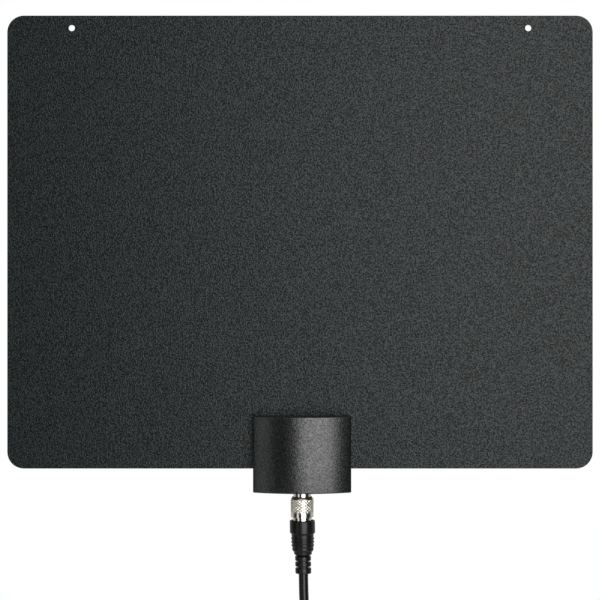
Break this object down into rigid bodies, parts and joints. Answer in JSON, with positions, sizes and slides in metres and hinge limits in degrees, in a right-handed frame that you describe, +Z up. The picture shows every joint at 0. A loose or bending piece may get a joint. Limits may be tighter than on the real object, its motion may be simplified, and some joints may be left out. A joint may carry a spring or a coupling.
{
  "type": "tv antenna",
  "caption": "Flat black indoor television antenna that hangs by two pin holes, with a moulded connector housing and a detachable coaxial lead.",
  "frame": {"origin": "midway between the two hang holes, on the sheet's back face", "axes": "+X to the right seen from the front, +Y into the wall, +Z up; the front looks along -Y"},
  "size_m": [0.2922, 0.0262, 0.4171],
  "materials": {
    "black_film": "fine-grained black film",
    "foil": "rolled foil",
    "rivet_brass": "bare",
    "board": "solder-masked laminate",
    "chip": "fired ceramic",
    "ferrite": "sintered",
    "copper_wire": "enamelled",
    "nickel": "bright nickel plate",
    "dielectric": "natural",
    "contact_brass": "plated",
    "housing": "semi-gloss moulded",
    "boot": "satin moulded",
    "cable": "satin extruded",
    "tie": "satin"
  },
  "bodies": {
    "antenna": {"front_film": "black_film", "rear_film": "black_film", "left_element": "foil", "right_element": "foil", "left_feed_rivet": "rivet_brass", "right_feed_rivet": "rivet_brass", "circuit_board": "board", "matching_chips": "chip", "balun_core": "ferrite", "primary_winding": "copper_wire", "secondary_winding": "copper_wire", "jack_body": "nickel", "jack_insulator": "dielectric", "jack_contact": "contact_brass", "front_cover": "housing", "rear_cover": "housing"},
    "lead": {"near_post": "nickel", "near_insulator": "dielectric", "near_pin": "contact_brass", "near_boot": "boot", "lead_cable": "cable", "lead_coil": "cable", "coil_tie": "tie", "lead_tail": "cable", "far_boot": "boot", "far_post": "nickel", "far_insulator": "dielectric", "far_pin": "contact_brass"},
    "near_nut": {"near_nut": "nickel"},
    "far_nut": {"far_nut": "nickel"}
  },
  "joints": [
    {"name": "near_nut_turn", "type": "hinge", "parent": "lead", "child": "near_nut", "pos_m": [0.00105, -0.007, -0.2404], "axis": [0, 0, -1], "range_deg": [0, 3240]},
    {"name": "plug_draw", "type": "slide", "parent": "antenna", "child": "lead", "axis": [0, 0, -1], "range_m": [0, 0.00714]},
    {"name": "far_nut_turn", "type": "hinge", "parent": "lead", "child": "far_nut", "pos_m": [-0.03495, -0.015, -0.4004], "axis": [0, 0, -1], "continuous": true}
  ],
  "couplings": [
    {"joint": "near_nut_turn", "follows": "plug_draw", "rad_per_m": 7915.8}
  ]
}
